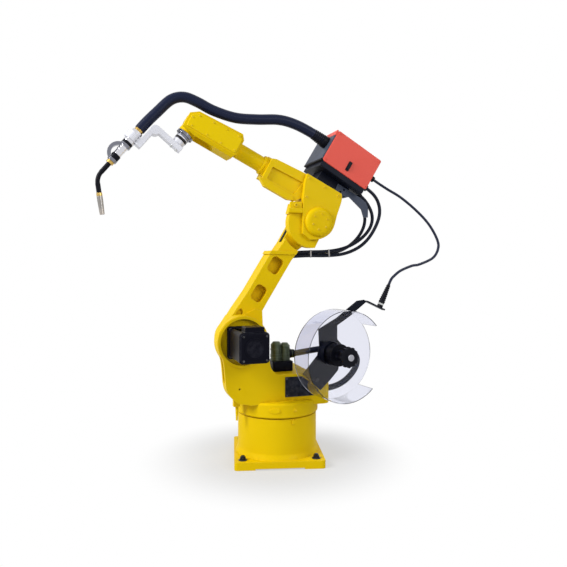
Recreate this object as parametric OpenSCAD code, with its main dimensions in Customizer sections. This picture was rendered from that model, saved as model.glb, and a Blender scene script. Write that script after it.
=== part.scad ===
// Six axis arc welding robot arm with wire feeder, spool stand and torch.
// Millimetres. The slewing axis is Z, the foot stands on z = 0, the arm lies in the plane y = 0
// and reaches along +X. Each link is drawn in its own frame and placed by the at_ modules.

/* [Pose of the arm] */
// Turn of the square foot against the arm
base_turn = -13; // [-45:1:45]
// Lean of the lower arm back from upright
lower_lean = 33; // [0:1:60]
// Rise of the forearm above level
upper_pitch = 27.5; // [0:0.5:60]
// Dip of the torch flange axis below level
torch_dip = 50; // [20:1:80]

/* [Base] */
// Side of the square foot plate
plate_side = 370; // [360:1:420]
// Thickness of the foot plate
plate_t = 32; // [20:1:40]
// Radius of the round pedestal
pedestal_r = 168; // [150:1:170]
// Height of the pedestal
pedestal_h = 196; // [150:1:240]
// Width of the flare at the pedestal's foot
flare_w = 10; // [4:1:14]
// Spacing of the foot bolt holes
bolt_spacing = 300; // [280:1:310]
// Foot bolt hole
bolt_hole_d = 18; // [12:1:20]
// Width of the relief between the corner pads
relief_w = 200; // [120:1:220]

/* [Turret] */
// Radius of the skirt
skirt_r = 175; // [165:1:185]
// Height of the skirt
skirt_h = 61; // [50:1:66]
// Shoulder axis ahead of the slewing axis
j2_x = 182; // [170:1:195]
// Shoulder axis above the floor
j2_z = 512; // [500:1:540]
// Radius of the shoulder boss
boss_r = 106; // [102:1:110]
// Width of the turret
turret_w = 256; // [240:1:280]
// Thickness of the shoulder ear
ear_t = 67; // [56:1:76]
// Bore for the shoulder motor
bore_r = 94; // [90:1:96]
// Height of the rear deck
deck_z = 372; // [366:1:378]
// Rear wall behind the slewing axis
tail_x = 197; // [185:1:205]

/* [Motors] */
// Shoulder motor flange
motor_flange = 130; // [110:1:134]
// Shoulder motor body
motor_w = 118; // [100:1:124]
// Shoulder motor length from its flange
motor_len = 200; // [180:1:215]
// Slewing motor body
deck_motor_w = 90; // [70:1:96]
// Slewing motor height
deck_motor_h = 42; // [36:1:60]

/* [Lower arm] */
// Shoulder axis to elbow axis
lower_len = 583; // [560:1:620]
// Thickness of the arm
lower_t = 110; // [90:1:112]
// Radius of the shoulder end
big_end_r = 82; // [76:1:90]
// Radius of the elbow end
head_r = 68; // [62:1:72]

/* [Elbow] */
// Forearm axis above the elbow axis
elbow_rise = 128; // [122:1:136]
// Width of the elbow casting
elbow_w = 124; // [110:1:130]
// Radius of the elbow hub
hub_r = 106; // [100:1:110]
// Face of the hub's side block
hub_face_y = 88; // [80:1:100]
// Length of the casting ahead of the elbow axis
nose_x = 288; // [270:1:310]

/* [Forearm and wrist] */
// Elbow axis to wrist axis along the forearm
forearm_len = 625; // [600:1:660]
// Forearm tube
tube_r = 34; // [30:1:38]
// Width of the wrist housing
wrist_w = 120; // [112:1:130]
// Width of the wrist unit between the cheeks
unit_w = 86; // [76:1:90]
// Radius of the wrist unit
unit_r = 42; // [38:1:44]

/* [Torch] */
// Wrist axis to the tool flange
flange_x = 54; // [50:1:60]
// Torch axis beside the flange axis
torch_z = 146; // [140:1:160]
// Plate of the torch bracket
bracket_t = 22; // [18:1:26]
// Torch body radius
torch_r = 23; // [20:1:24]
// Neck radius
neck_r = 9; // [7:0.5:10]
// Bend of the neck
neck_bend = 48; // [30:1:60]
// Length of the gas nozzle
nozzle_len = 74; // [60:1:90]

/* [Wire feeder] */
// Length of the feeder
feeder_len = 235; // [220:1:250]
// Width of the feeder
feeder_w = 220; // [200:1:230]
// Height of the feeder case
feeder_h = 150; // [140:1:165]
// Tilt of the feeder against the arm
feeder_tilt = 3.5; // [0:0.5:6]

/* [Spool stand] */
// Spool axis behind the slewing axis
spool_x = 194; // [186:1:204]
// Spool axis above the floor
spool_z = 452; // [446:1:462]
// Rim radius of the clear guard
guard_r = 188; // [180:1:195]
// Depth of the clear guard
guard_d = 108; // [100:1:120]
// Turn of the spool axis away from the arm
spool_turn = 11; // [0:1:12]
// Wall of the clear guard
guard_t = 3; // [2:0.5:4]
// Radius of the spindle
spindle_r = 25; // [20:1:30]

/* [Fits] */
// Running gap at a bearing face
run = 0.3; // [0.2:0.1:0.5]
// Gap between pieces pushed together
fit = 0.1; // [0.05:0.05:0.2]
// Free gap beside moving pieces
free = 5; // [4:0.5:8]

/* [Hidden] */
$fn = 64;
seam = 5;
skirt_z = pedestal_h + seam;
skirt_top = skirt_z + skirt_h;
ear_y = turret_w / 2;
gap_y = ear_y - ear_t;
motor_y = ear_y - 14;
unit_y = unit_w / 2;
bracket_y = ear_y + 6;
guard_y = 20;
rim_y = guard_y + guard_d;
stub_r = 22;
knob_y = rim_y - 2;
tab_x = -359;
tab_z = 669;
tab_dip = 25;
tab_w = 30;
fitting_y = ear_y + tab_w / 2;
fitting_d = 106;
beam_y = lower_t / 2 - 5;
hub_y = 25;
cover_r = 62;
lug_x = 122;
lug_z = 30;
hub_sweep = norm([lug_x, lug_z]);
rail_z = 37;
feeder_x = -22;
feeder_z = elbow_rise + 118;
casting_top = elbow_rise + 49;
adapter_x = flange_x + 20;
leg_x = adapter_x + 35;
leg2_z = torch_z - 27;
body_x = leg_x + 77;
neck_x = body_x + 212;
neck_turn = 60;
sleeve_r = neck_r + 0.8;
tight = 0.6;
j3 = [j2_x - lower_len * sin(lower_lean), 0, j2_z + lower_len * cos(lower_lean)];
function turned(p, a) = [p[0] * cos(a) - p[2] * sin(a), p[1], p[0] * sin(a) + p[2] * cos(a)];
function on_j2(p) = [j2_x, 0, j2_z] + turned(p, lower_lean);
function on_j3(p) = j3 + turned(p, upper_pitch);
function on_feeder(p) = on_j3([feeder_x, 0, feeder_z] + turned(p, feeder_tilt));
function on_tool(p) = on_j3([forearm_len, 0, elbow_rise]) + turned(p, -torch_dip);
function on_fitting(d) = [tab_x - 66 * cos(tab_dip) - d * sin(tab_dip), fitting_y,
  tab_z - 66 * sin(tab_dip) + d * cos(tab_dip)];
case_front = feeder_len / 2 + 28;
case_rear = -feeder_len / 2;
gland_z = 380;
hose_path = [on_feeder([case_front + tight, 50, 92]), on_feeder([case_front + 50, 50, 92]),
  [-70, 46, 1424], [5, 42, 1440], [100, 36, 1436], [193, 30, 1438], [283, 22, 1463], [350, 16, 1495],
  [403, 10, 1512], [455, 6, 1498], [510, 2, 1445],
  on_tool([body_x - 60, 0, torch_z]), on_tool([body_x - 17 - tight, 0, torch_z])];
conduit_path = [on_feeder([case_rear - 26 - tight, 60, 76]), on_feeder([case_rear - 60, 60, 76]),
  [-500, 62, 1160], [-569, 66, 1122], [-649, 70, 1061], [-703, 78, 1003], [-740, 84, 938], [-743, 88, 896],
  [-711, 95, 853], [-634, 108, 824], [-593, 115, 818], [-528, 130, 797], [-489, 138, 772],
  on_fitting(fitting_d + 22), on_fitting(fitting_d + tight)];
cable_1 = [on_feeder([case_rear - 18 - tight, 60, 24]), on_feeder([case_rear - 40, 60, 24]), [-448, 58,
  1118],
  [-466, 54, 1070], [-462, 46, 1022], [-432, 34, 956], [-390, 16, 906], [-325, -16, 872], [-245, -46, 863],
  [-160, -62, 863], on_j2([-4, -66, gland_z + 30]), on_j2([-4, -66, gland_z + tight])];
cable_2 = [on_feeder([case_rear - 22 - tight, 32, -12]), on_feeder([case_rear - 40, 32, -12]), [-422,
  32, 1085],
  [-440, 32, 1045], [-438, 26, 1000], [-414, 14, 958], [-372, -6, 920], [-318, -30, 894], [-245, -50, 882],
  [-160, -62, 880], on_j2([26, -66, gland_z + 30]), on_j2([26, -66, gland_z + tight])];
cable_3 = [on_feeder([case_rear - 22 - tight, -2, -12]), on_feeder([case_rear - 36, -2, -12]), [-404,
  0, 1084],
  [-418, 2, 1040], [-414, -4, 992], [-392, -18, 946], [-354, -36, 906], [-304, -56, 880], [-240, -72, 871],
  [-160, -82, 871], on_j2([11, -84, gland_z + 30]), on_j2([11, -84, gland_z + tight])];
plug_z = deck_z + deck_motor_h + 26;
motor_path = [[-66 - tight, 20, plug_z], [-92, 20, plug_z], [-150, 45, 456], [-220, 58, 462], [-300,
  62, 455],
  [-350, 64, 436], [-360, 66, 405], [-340, 68, 365], [-300, 72, 325], [-262, 76, 302], [-tail_x - 40,
    78, 292],
  [-tail_x - tight, 78, 292]];

// Frame of the lower arm, z along the arm
module at_j2() translate([j2_x, 0, j2_z]) rotate([0, -lower_lean, 0]) children();
// Frame of the elbow, x along the forearm
module at_j3() at_j2() translate([0, 0, lower_len]) rotate([0, lower_lean - upper_pitch, 0]) children();
// Frame of the wrist axis in the forearm's direction
module at_wrist() at_j3() translate([forearm_len, 0, elbow_rise]) children();
// Frame of the tool, x along the flange axis
module at_tool() at_wrist() rotate([0, upper_pitch + torch_dip, 0]) children();
// Frame of the feeder, on the middle of its floor
module at_feeder() at_j3() translate([feeder_x, 0, feeder_z]) rotate([0, -feeder_tilt, 0]) children();
// Frame of the spool, y along its axis
module at_spool() translate([-spool_x, bracket_y, spool_z]) rotate([0, 0, spool_turn]) children();
// Frame of the bracket's bent tab, x back along it
module at_tab() translate([tab_x, ear_y, tab_z]) rotate([0, -tab_dip, 0]) children();
// A side outline drawn in x and z, carried across from y0 to y1
module across(y0, y1) translate([0, y1, 0]) rotate([90, 0, 0]) linear_extrude(y1 - y0) children();
// A round along y
module drum(r, y0, y1) translate([0, y1, 0]) rotate([90, 0, 0]) cylinder(r = r, h = y1 - y0);
// A round along x
module bar(r, x0, x1) translate([x0, 0, 0]) rotate([0, 90, 0]) cylinder(r = r, h = x1 - x0);
// A ring along x
module collar(r, bore, x0, x1) difference() { bar(r, x0, x1); bar(bore, x0 - 1, x1 + 1); }
// A square with round corners, about its middle
module soft_square(w, h, r) {
  square([w - 2 * r, h], center = true);
  square([w, h - 2 * r], center = true);
  for (x = [-1, 1], y = [-1, 1]) translate([x * (w / 2 - r), y * (h / 2 - r)]) circle(r);
}

// Smooth line through the points of a route
function bend(a, b, c, d, t) = 0.5 * (2 * b + (c - a) * t + (2 * a - 5 * b + 4 * c - d) * t * t
  + (3 * b - a - 3 * c + d) * t * t * t);
function route(p, n) = [for (i = [0 : len(p) - 2], j = [0 : n - 1])
  bend(p[max(i - 1, 0)], p[i], p[i + 1], p[min(i + 2, len(p) - 1)], j / n), p[len(p) - 1]];
function unit(v) = v / norm(v);
function heading(q, i) = unit(q[min(i + 1, len(q) - 1)] - q[max(i - 1, 0)]);
// A round cable along a route
module cable(p, r, n = 3, sides = 12) {
  q = route(p, n);
  m = len(q);
  last = len(p) - 1;
  points = [for (i = [0 : m - 1]) let (t = i == 0 ? unit(p[1] - p[0])
    : i == m - 1 ? unit(p[last] - p[last - 1])
    : heading(q, i), u = unit(cross(t, [0, 1, 0])), v = cross(t, u))
    for (k = [0 : sides - 1]) q[i] + r * (cos(360 * k / sides) * u + sin(360 * k / sides) * v)];
  polyhedron(points, concat([[for (k = [0 : sides - 1]) sides - 1 - k]],
    [[for (k = [0 : sides - 1]) (m - 1) * sides + k]],
    [for (i = [0 : m - 2], k = [0 : sides - 1]) let (l = (k + 1) % sides)
      [i * sides + k, i * sides + l, (i + 1) * sides + l, (i + 1) * sides + k]]));
}

module base_pedestal() color("#e2a417") rotate([0, 0, base_turn]) difference() {
  union() {
    linear_extrude(plate_t) soft_square(plate_side, plate_side, 14);
    cylinder(r = pedestal_r, h = pedestal_h);
    translate([0, 0, plate_t]) cylinder(r1 = pedestal_r + flare_w, r2 = pedestal_r, h = 26);
    rotate([0, 0, 110]) translate([pedestal_r - 6, -9, pedestal_h - 20]) cube([14, 18, 16]);
  }
  for (x = [-1, 1], y = [-1, 1]) translate([x * bolt_spacing / 2, y * bolt_spacing / 2, -1])
    cylinder(d = bolt_hole_d, h = plate_t + 2);
  for (a = [0 : 90 : 270]) rotate([0, 0, a]) translate([plate_side / 2 - 40, -relief_w / 2, -1])
    cube([60, relief_w, 6]);
}

module slew_ring() color("#4a4638") translate([0, 0, pedestal_h]) cylinder(r = pedestal_r - 14,
  h = seam - run);

// Side outline of the shoulder ear, from the skirt up to the motor ring
module ear_outline() {
  front = [[150, skirt_top - 8], [178, skirt_top - 2], [j2_x + 24, skirt_top + 6], [j2_x + 54,
    skirt_top + 34],
    [j2_x + 69, skirt_top + 67], [j2_x + 75, deck_z + 13], [j2_x + 81, j2_z - 77], [j2_x + 93, j2_z - 46]];
  rear = [[j2_x - boss_r + 6, j2_z - 24], [j2_x - boss_r - 4, deck_z + 62], [j2_x - boss_r - 14,
    deck_z + 24],
    [j2_x - boss_r - 40, deck_z]];
  polygon(concat([[40, skirt_top - 10]], route(front, 4), [[j2_x, j2_z]], route(rear, 4), [[30,
    deck_z - 10]]));
  translate([j2_x, j2_z]) circle(boss_r);
}

module turret() color("#e2a417") difference() {
  union() {
    rotate_extrude() polygon([[0, skirt_z], [skirt_r - 5, skirt_z], [skirt_r, skirt_z + 5],
      [skirt_r, skirt_top - 7], [skirt_r - 7, skirt_top], [0, skirt_top]]);
    intersection() {
      across(-ear_y, ear_y) polygon([[-tail_x, skirt_top - 22], [skirt_r, skirt_top - 22],
        [skirt_r, deck_z - 50], [j2_x - boss_r - 22, deck_z], [80 - tail_x, deck_z], [-tail_x,
          deck_z - 46]]);
      linear_extrude(1000) {
        circle(skirt_r - 10);
        translate([-tail_x / 2, 0]) soft_square(tail_x, turret_w, 30);
      }
    }
    across(gap_y, ear_y) ear_outline();
    translate([j2_x, 0, j2_z]) drum(boss_r - 2, ear_y - 1, ear_y + 6);
    translate([186, gap_y + 7, skirt_top - 18]) cube([26, 22, 42]);
    translate([197, gap_y + 18, skirt_top - 76]) cylinder(r1 = 4, r2 = 7, h = 64);
  }
  translate([j2_x, 0, j2_z]) drum(bore_r, motor_y, ear_y + 30);
  translate([j2_x + 34, gap_y + 34, deck_z + 28]) rotate([0, 90, 0]) linear_extrude(120)
    soft_square(110, 34, 10);
  translate([j2_x + 15, 0, skirt_top + 61]) drum(4, ear_y - 12, ear_y + 1);
}

module turret_panel() color("#26262a") across(ear_y, ear_y + 3) polygon([[5, deck_z - 94], [5, deck_z - 11],
  [-73, deck_z - 11], [-141, deck_z - 72], [-141, deck_z - 94]]);

module shoulder_motor() color("#1d1d20") translate([j2_x, 0, j2_z]) {
  across(motor_y, motor_y + 20) soft_square(motor_flange, motor_flange, 12);
  across(motor_y + 20, motor_y + motor_len - 10) soft_square(motor_w, motor_w, 14);
  across(motor_y + motor_len - 10, motor_y + motor_len) soft_square(motor_w - 10, motor_w - 10, 12);
  across(motor_y + motor_len - 70, motor_y + motor_len - 12) translate([-2, motor_w / 2 + 6])
    soft_square(76, 28, 5);
}

module deck_motor() color("#1d1d20") translate([-8, 20, deck_z]) linear_extrude(deck_motor_h)
  soft_square(deck_motor_w, deck_motor_w, 10);

module motor_connectors() color("#6b6a3c") translate([-8, 20, deck_z + deck_motor_h]) {
  for (c = [[18, 24, 80], [-20, 22, 74]]) translate([c[0], 0, 0]) {
    cylinder(r = c[1], h = c[2] - 12);
    translate([0, 0, c[2] - 12]) cylinder(r1 = c[1], r2 = c[1] - 10, h = 12);
  }
  translate([0, 0, 26]) bar(17, -58, -20);
}

module spool_bracket() color("#1f1f22") {
  difference() {
    across(ear_y, bracket_y) polygon([[-140, 554], [-221, 598], [-264, 630], [-317, 669], [tab_x + 8,
      tab_z + 4],
      [tab_x - 1, tab_z - 6], [-330, 640], [-287, 607], [-225, 567], [-225, 509], [-250, 481], [-229, 378],
      [-192, 338], [-149, 298], [-71, deck_z - 3], [-135, 444], [-144, 483]]);
    for (x = [-134, -104]) translate([x, 0, deck_z - 30]) drum(5, ear_y - 1, bracket_y + 1);
  }
  at_tab() translate([-88, 0, -6]) cube([90, tab_w, 6]);
  difference() {
    at_spool() drum(50, -14, guard_y - fit);
    translate([-spool_x - 100, bracket_y - 102, spool_z - 100]) cube([200, 100, 200]);
  }
  at_spool() drum(stub_r, guard_y - 2, guard_y + 12);
}

module spool_guard() color("#dfe3f0", 0.35) at_spool() difference() {
  rotate([-90, 0, 0]) rotate_extrude() polygon([[stub_r + fit, guard_y], [guard_r, guard_y], [guard_r,
    rim_y],
    [guard_r - guard_t, rim_y], [guard_r - guard_t, guard_y + guard_t], [stub_r + fit, guard_y + guard_t]]);
  across(guard_y + guard_t + 4, rim_y + 10) polygon([[-60, 0], [-2 * guard_r * cos(57),
    -2 * guard_r * sin(57)],
    [-3 * guard_r, 0], [-2 * guard_r * cos(47), 2 * guard_r * sin(47)]]);
}

module conduit_fitting() color("#2a2b30") at_tab() translate([-66, tab_w / 2, 0]) {
  cylinder(r = 14, h = 10, $fn = 6);
  translate([0, 0, 10]) cylinder(r = 9, h = 8);
  translate([0, 0, 18]) cylinder(r1 = 13, r2 = 7, h = fitting_d - 18);
}

module motor_cable() color("#18181b") cable(motor_path, 13);

module spool_spindle() color("#1f1f22") at_spool() difference() {
  union() {
    drum(spindle_r + 21, guard_y + 12 + run, guard_y + 54);
    drum(spindle_r, guard_y + 53, knob_y);
  }
  drum(6, knob_y - 30, knob_y + 1);
}

module spindle_knob() color("#232327") at_spool() {
  drum(5, knob_y - 28, knob_y);
  drum(40, knob_y, knob_y + 16);
  drum(14, knob_y + 16, knob_y + 24);
}

// The arm: a slender beam, a broad foot, the flange across it and both round ends
module arm_beam() at_j2() {
  across(-beam_y, beam_y) polygon([[-60, 0], [-76, 40], [-57, 97], [-21, 152], [-19, 200], [-14, 400],
    [-18, lower_len - 130], [9 - head_r, lower_len - 30], [0, lower_len], [head_r - 4, lower_len],
    [head_r - 6, lower_len - 54], [58, 450], [60, 394], [80, 386], [80, 362], [75, 190], [79, 100],
    [big_end_r - 3, 0]]);
  across(-lower_t / 2, lower_t / 2) {
    circle(big_end_r);
    polygon([[0, 0], [-77, 39], [-59, 98], [-20, 153], [10, 146], [42, 92], [80, 62], [81, 8]]);
    polygon([[85, 371], [85, 388], [-17, 451], [-17, 434]]);
    translate([0, lower_len]) circle(head_r);
  }
}

module lower_arm() color("#e2a417") difference() {
  union() {
    arm_beam();
    at_j2() drum(big_end_r - 7, -lower_t / 2 - 14, gap_y - run);
  }
  at_j2() arm_cuts();
}

// The elbow seat and the side pockets
module arm_cuts() {
  translate([0, 0, lower_len]) drum(hub_sweep + free, hub_y, 80);
  for (s = [-1, 1]) scale([1, s, 1]) across(12, 80) {
    translate([34, 346]) soft_square(56, 72, 18);
    translate([31, 208]) soft_square(54, 72, 18);
  }
  across(beam_y - 10, 80) polygon(route([[68, 76], [71, 96], [63, 114], [48, 107], [44, 92], [55, 79],
    [68, 76]], 3));
}

module cable_gland() color("#1f1f22") difference() {
  at_j2() translate([-16, -98, gland_z - 44]) cube([54, 98 - beam_y + 5, 44]);
  arm_beam();
}

// The hub's rear edge, shared by its round band and its side block
hub_rear = [[-56, casting_top - 3], [-70, 146], [-80, 80], [-90, 28], [-84, -10], [-58, -46], [-18, -70]];

module elbow_hub() {
  across(hub_y + run, hub_face_y - 18) {
    intersection() {
      circle(hub_r);
      translate([-60, -2 * hub_r]) square([4 * hub_r, 2 * hub_r + 40]);
    }
    polygon([[lug_x, lug_z], [84, 62], [50, 11], [112, -14]]);
  }
  across(hub_y + run, hub_face_y) polygon(concat(route(hub_rear, 4), [[21, -62], [87, 67], [112, 135],
    [120, casting_top - 3]]));
}

module elbow_casting() color("#e2a417") at_j3() difference() {
  union() {
    across(-elbow_w / 2, elbow_w / 2) polygon([[nose_x - 8, head_r + 10], [nose_x - 8, casting_top - 18],
      [nose_x - 26, casting_top - 11], [119, casting_top], [-58, casting_top], [-76, casting_top - 24],
      [-88, 86], [-80, head_r + 10]]);
    across(elbow_w / 2 - 22, elbow_w / 2) polygon([[nose_x - 8, head_r + 12], [nose_x - 8, rail_z + 25],
      [nose_x - 32, rail_z + 8], [114, rail_z + 8], [84, head_r + 12]]);
    across(elbow_w / 2 - 22, elbow_w / 2 + 4) polygon([[nose_x + 8, rail_z + 25], [nose_x - 30, rail_z],
      [143, rail_z], [118, rail_z + 10], [131, rail_z + 25]]);
    elbow_hub();
    translate([0, 0, elbow_rise]) bar(46, nose_x - 20, nose_x);
  }
  drum(head_r + free, -80, hub_y);
  across(elbow_w / 2 - 10, elbow_w) polygon([[nose_x - 26, 72], [nose_x - 26, casting_top - 48],
    [114, casting_top - 40], [126, 72]]);
  across(-elbow_w, 10 - elbow_w / 2) polygon([[nose_x - 26, 94], [nose_x - 26, casting_top - 48],
    [114, casting_top - 40], [114, 94]]);
}

module elbow_cover() color("#e2a417") at_j3() translate([-18, 0, 15]) rotate([-90, 0, 0]) rotate_extrude()
  polygon(concat([[0, hub_face_y], [cover_r, hub_face_y]], [for (a = [0 : 15 : 90])
    [cover_r - 22 + 22 * cos(a), hub_face_y + 5 + 15 * sin(a)]], [[0, hub_face_y + 20]]));

module feeder_mount() color("#222226") difference() {
  at_feeder() translate([-70, -52, -80]) cube([150, 104, 80 - 24]);
  at_j3() translate([-200, -100, 0]) cube([400, 200, casting_top]);
}

module feeder_tray() color("#1e1e21") at_feeder() translate([-feeder_len / 2 + 4, 4 - feeder_w / 2, -24])
  cube([feeder_len - 8, feeder_w - 8, 24]);

module feeder_case() color("#d9512f") at_feeder() across(-feeder_w / 2, feeder_w / 2)
  translate([0, feeder_h / 2]) soft_square(feeder_len, feeder_h, 8);

module feeder_end() color("#8f949c") at_feeder() translate([feeder_len / 2, 3 - feeder_w / 2, 3])
  cube([6, feeder_w - 6, feeder_h - 6]);

module feeder_switch() color("#18181a") at_feeder() across(feeder_w / 2, feeder_w / 2 + 4)
  translate([2, 42]) soft_square(16, 44, 3);

module hose_socket() color("#1b1b1e") at_feeder() translate([feeder_len / 2 + 6, 50, 92]) bar(27, 0, 22);

module cable_arm() color("#6d737d") at_j3() difference() {
  across(52, 58) polygon([[-32, 214], [-32, 180], [-74, 177], [-104, 188], [-180, 168], [-206, 142],
    [-224, 152],
    [-206, 190], [-186, 206], [-160, 211], [-104, 213]]);
  for (p = [[-68, 204], [-56, 188]]) translate([p[0], 0, p[1]]) drum(5, 40, 70);
}

module feeder_glands() color("#1b1b1e") at_feeder() {
  translate([case_rear - 26, 60, 76]) bar(13, 0, 26);
  translate([case_rear - 18, 60, 24]) bar(14, 0, 18);
  for (y = [-2, 32]) translate([case_rear - 22, y, -12]) bar(11, 0, 26);
}

module torch_hose() color("#1c1d26") cable(hose_path, 19, 3, 16);
module wire_conduit() color("#2b2d38") cable(conduit_path, 6, 3, 10);
module feeder_cable_1() color("#1c1d24") cable(cable_1, 7.5, 3, 10);
module feeder_cable_2() color("#1c1d24") cable(cable_2, 7.5, 3, 10);
module feeder_cable_3() color("#1c1d24") cable(cable_3, 7.5, 3, 10);

module forearm_tube() color("#e2a417") at_j3() translate([0, 0, elbow_rise]) {
  bar(42, nose_x + run, nose_x + 12);
  bar(tube_r, nose_x + 12, forearm_len - 206);
}

module wrist_housing() color("#e2a417") at_wrist() difference() {
  across(-wrist_w / 2, wrist_w / 2) polygon([[40, 21], [8, 45], [-190, 57], [-206, 35], [-206, -29],
    [-192, -51],
    [-20, -51], [40, -41]]);
  across(-unit_y, unit_y) polygon([[-58, 100], [-58, -14], [-112, -46], [-112, -100], [200, -100],
    [200, 100]]);
  for (s = [-1, 1]) scale([1, s, 1]) translate([-300, wrist_w / 2, 0]) rotate([90, 0, 90])
    linear_extrude(500)
    polygon([[-14, -52], [-14, -90], [20, -90], [20, -18], [0, -38]]);
}

module wrist_covers() color("#e8ad1c") at_wrist() for (s = [-1, 1]) scale([1, s, 1])
  across(wrist_w / 2, wrist_w / 2 + 4) polygon([[30, 16], [4, 37], [-184, 47], [-197, 30], [-197, -26],
    [-190, -33],
    [28, -32]]);

module wrist_unit() color("#d99a14") at_tool() {
  drum(unit_r, -unit_y + run, unit_y - run);
  bar(36, 0, flange_x - run);
}

module tool_flange() color("#2c2c30") at_tool() {
  bar(37, flange_x, flange_x + 12);
  bar(30, flange_x + 11, adapter_x);
}
module tool_adapter() color("#c9ccd1") at_tool() bar(26, adapter_x, leg_x);

module torch_bracket() color("#d5d8dc") at_tool() across(-24, 24) {
  polygon([[leg_x, -29], [leg_x + bracket_t, -29], [leg_x + bracket_t, leg2_z - bracket_t],
    [leg_x + 118, leg2_z - bracket_t], [leg_x + 118, leg2_z], [leg_x + 20, leg2_z], [leg_x, leg2_z - 20]]);
  translate([leg_x + 20, leg2_z - 20]) circle(20);
}

module torch_clamp() color("#c2c6cc") at_tool() difference() {
  union() {
    translate([0, 0, torch_z]) bar(torch_r + 8, leg_x + 84, leg_x + 116);
    translate([leg_x + 84, -22, leg2_z]) cube([32, 44, torch_z - leg2_z]);
  }
  translate([0, 0, torch_z]) bar(torch_r + fit, leg_x, leg_x + 200);
  translate([0, -100, leg2_z - 100]) cube([400, 200, 100]);
}

module torch_body() color("#b9bdc4") at_tool() translate([body_x, 0, torch_z]) {
  bar(torch_r, -6, 52);
  bar(12, 52, 64);
  bar(17, 64, 120);
  bar(12, 120, 166);
}

module torch_grips() color("#19191c") at_tool() translate([body_x, 0, torch_z]) {
  collar(22.5, 12 + fit, 52, 64);
  collar(19, 12 + fit, 120, 142);
}

module torch_loop() color("#c8cbd0") at_tool() translate([body_x, 0, torch_z]) difference() {
  union() {
    translate([109, 0, 0]) difference() {
      drum(45, -12, 12);
      drum(30, -13, 13);
      translate([-60, -20, -60]) cube([120, 40, 60]);
    }
    bar(23.5, 64, 76);
    bar(20, 142, 154);
  }
  bar(17 + fit, 0, 130);
  bar(19 + fit, 118, 142);
  bar(12 + fit, 0, 200);
}

module torch_brass() color("#b08d3c") at_tool() {
  translate([body_x, 0, torch_z]) bar(19, -17, -6);
  translate([body_x, 0, torch_z]) collar(15.5, 12 + fit, 154, 166);
  at_neck_end() collar(11.5, sleeve_r + fit, -12, 0);
}

// Frame at the end of the neck, x toward the nozzle
module at_neck_end() translate([neck_x, 0, torch_z - neck_turn]) rotate([0, neck_bend, 0])
  translate([49, 0, neck_turn]) children();

module torch_neck() color("#17171a") at_tool() {
  translate([0, 0, torch_z]) bar(sleeve_r, body_x + 166, neck_x + 2);
  translate([neck_x, 0, torch_z - neck_turn]) rotate([90, 0, 0]) rotate([0, 0, 90 - neck_bend])
    rotate_extrude(angle = neck_bend) translate([neck_turn, 0]) circle(neck_r);
  at_neck_end() bar(sleeve_r, -51, 0);
}

module gas_nozzle() color("#a9adb3") at_tool() at_neck_end() difference() {
  union() {
    bar(11.5, 0, 20);
    translate([20, 0, 0]) rotate([0, 90, 0]) cylinder(r1 = 11.5, r2 = 9.5, h = nozzle_len - 20);
  }
  collar(7.5, 3.5, nozzle_len - 24, nozzle_len + 1);
}

base_pedestal();
slew_ring();
turret();
turret_panel();
shoulder_motor();
deck_motor();
motor_connectors();
spool_bracket();
spool_guard();
conduit_fitting();
motor_cable();
spool_spindle();
spindle_knob();
lower_arm();
cable_gland();
elbow_casting();
elbow_cover();
feeder_mount();
feeder_tray();
feeder_case();
feeder_end();
feeder_switch();
hose_socket();
cable_arm();
feeder_glands();
torch_hose();
wire_conduit();
feeder_cable_1();
feeder_cable_2();
feeder_cable_3();
forearm_tube();
wrist_housing();
wrist_covers();
wrist_unit();
tool_flange();
tool_adapter();
torch_bracket();
torch_clamp();
torch_body();
torch_grips();
torch_loop();
torch_brass();
torch_neck();
gas_nozzle();
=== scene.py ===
# %% [markdown]
# # An arc welding robot arm
#
# The object is a six-axis robot arm that carries an arc torch on its wrist, a wire feeder on its elbow and a wire
# spool stand on its turret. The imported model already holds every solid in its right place, in metres. This script
# leaves those places alone and gives the arm its looks: soft cast edges, paint, metal, rubber, screws and cables.

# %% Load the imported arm
import bpy
import bmesh
import math
from mathutils import Matrix, Vector


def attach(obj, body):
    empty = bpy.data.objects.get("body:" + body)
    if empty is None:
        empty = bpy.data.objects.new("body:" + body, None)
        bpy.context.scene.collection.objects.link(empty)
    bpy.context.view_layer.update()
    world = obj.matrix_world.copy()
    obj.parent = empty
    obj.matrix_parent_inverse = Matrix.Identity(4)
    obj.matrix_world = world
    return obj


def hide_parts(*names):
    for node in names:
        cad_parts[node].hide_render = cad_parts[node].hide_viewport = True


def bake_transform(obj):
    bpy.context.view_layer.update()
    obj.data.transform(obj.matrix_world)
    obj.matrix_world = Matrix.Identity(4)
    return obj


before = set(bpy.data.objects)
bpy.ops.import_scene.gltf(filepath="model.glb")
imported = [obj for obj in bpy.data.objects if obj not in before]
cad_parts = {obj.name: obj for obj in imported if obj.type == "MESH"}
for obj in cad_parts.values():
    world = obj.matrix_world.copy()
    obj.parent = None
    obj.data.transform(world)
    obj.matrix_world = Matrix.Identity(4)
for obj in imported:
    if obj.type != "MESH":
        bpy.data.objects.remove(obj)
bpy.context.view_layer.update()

# %% [markdown]
# The camera stands where the picture was taken: at about half the arm's height, level, and a little to the torch's
# side of straight on. A level camera keeps upright edges upright. The small shift lowers the frame without tilting it,
# as a photographer does with a shift lens.

# %% Camera at the viewing angle
view_from = Vector((0.770, 2.479, 0.8436))
view_along = Vector((-0.30693, -0.95173, 0.0))
lens = bpy.data.cameras.new("studio_camera")
lens.sensor_width, lens.lens, lens.shift_y = 36.0, 38.095, -0.04145
camera = bpy.data.objects.new("studio_camera", lens)
camera.location = view_from
camera.rotation_euler = view_along.to_track_quat("-Z", "Y").to_euler()
bpy.context.scene.collection.objects.link(camera)
bpy.context.scene.camera = camera
print("camera at", tuple(round(c, 3) for c in view_from))

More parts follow.
